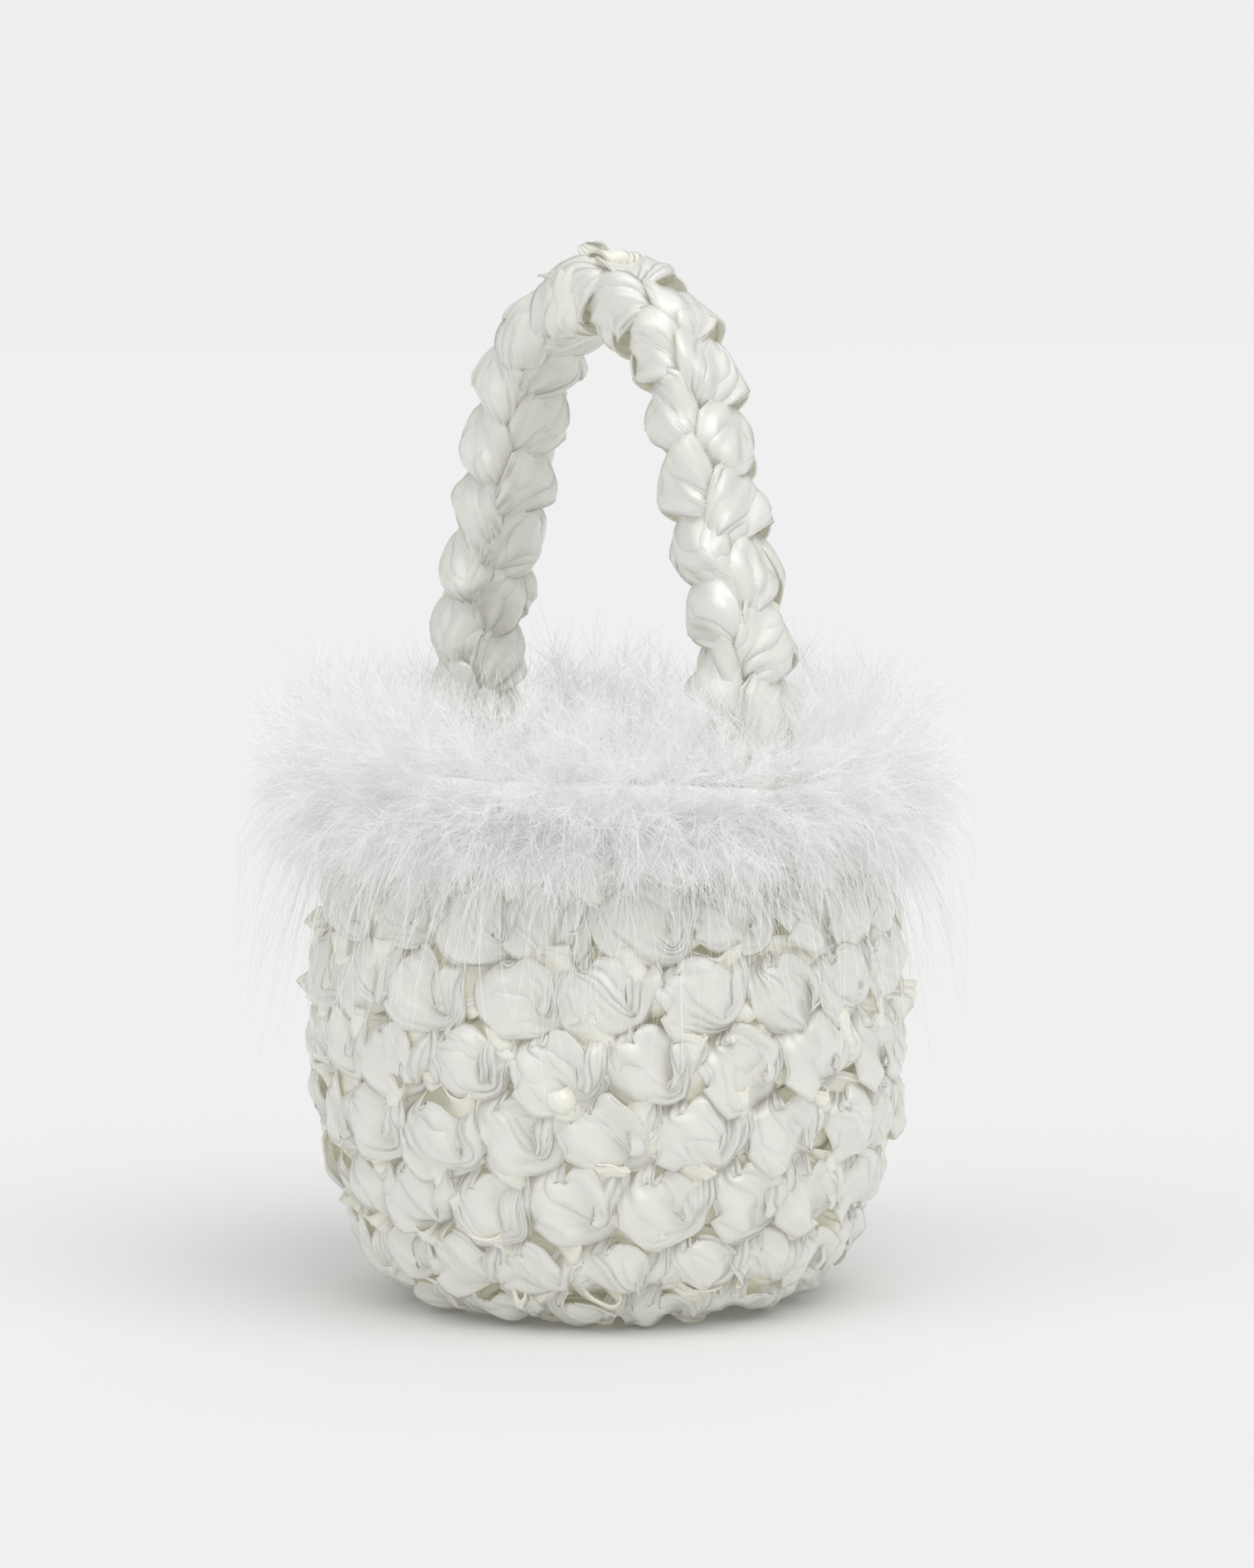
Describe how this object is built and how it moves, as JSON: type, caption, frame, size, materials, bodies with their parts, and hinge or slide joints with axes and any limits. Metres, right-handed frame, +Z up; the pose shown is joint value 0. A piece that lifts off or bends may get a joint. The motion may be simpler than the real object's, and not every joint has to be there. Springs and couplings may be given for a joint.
{
  "type": "flower girl basket",
  "caption": "Round-bellied basket crocheted from satin ribbon, with a fluffy feather boa sewn round its mouth and an arched ribbon handle that folds to either side.",
  "frame": {"origin": "on the floor, under the middle of the base", "axes": "+Z up, +X from the basket's axis through the right handle root, +Y across the handle"},
  "size_m": [0.2076, 0.2076, 0.3169],
  "materials": {
    "satin_ribbon": "ivory double-face satin ribbon, soft sheen",
    "lining_cloth": "cream plain-weave lining",
    "marabou_down": "white marabou down, soft and loose",
    "cotton_cord": "twisted white cotton cord",
    "thread": "ivory sewing thread",
    "wire": "galvanised wire",
    "stiff_board": "plain pale board"
  },
  "bodies": {
    "basket": {"base_centre": "satin_ribbon", "base_round_1": "satin_ribbon", "base_round_2": "satin_ribbon", "wall_round_1": "satin_ribbon", "wall_round_2": "satin_ribbon", "wall_round_3": "satin_ribbon", "wall_round_4": "satin_ribbon", "wall_round_5": "satin_ribbon", "wall_round_6": "satin_ribbon", "rim_round": "satin_ribbon", "rim_hoop": "wire", "base_board": "stiff_board", "lining_base": "lining_cloth", "lining_wall": "lining_cloth", "boa_cord": "cotton_cord", "boa_down": "marabou_down", "boa_stitches": "thread", "handle_root_left": "satin_ribbon", "handle_root_right": "satin_ribbon", "root_stitches": "thread"},
    "handle": {"handle_band": "satin_ribbon", "handle_wire": "wire", "crown_knot": "satin_ribbon", "ribbon_tail": "satin_ribbon"}
  },
  "joints": [
    {"name": "handle_swing", "type": "hinge", "parent": "basket", "child": "handle", "pos_m": [0, 0, 0.168], "axis": [1, 0, 0], "range_deg": [-60, 60]}
  ]
}
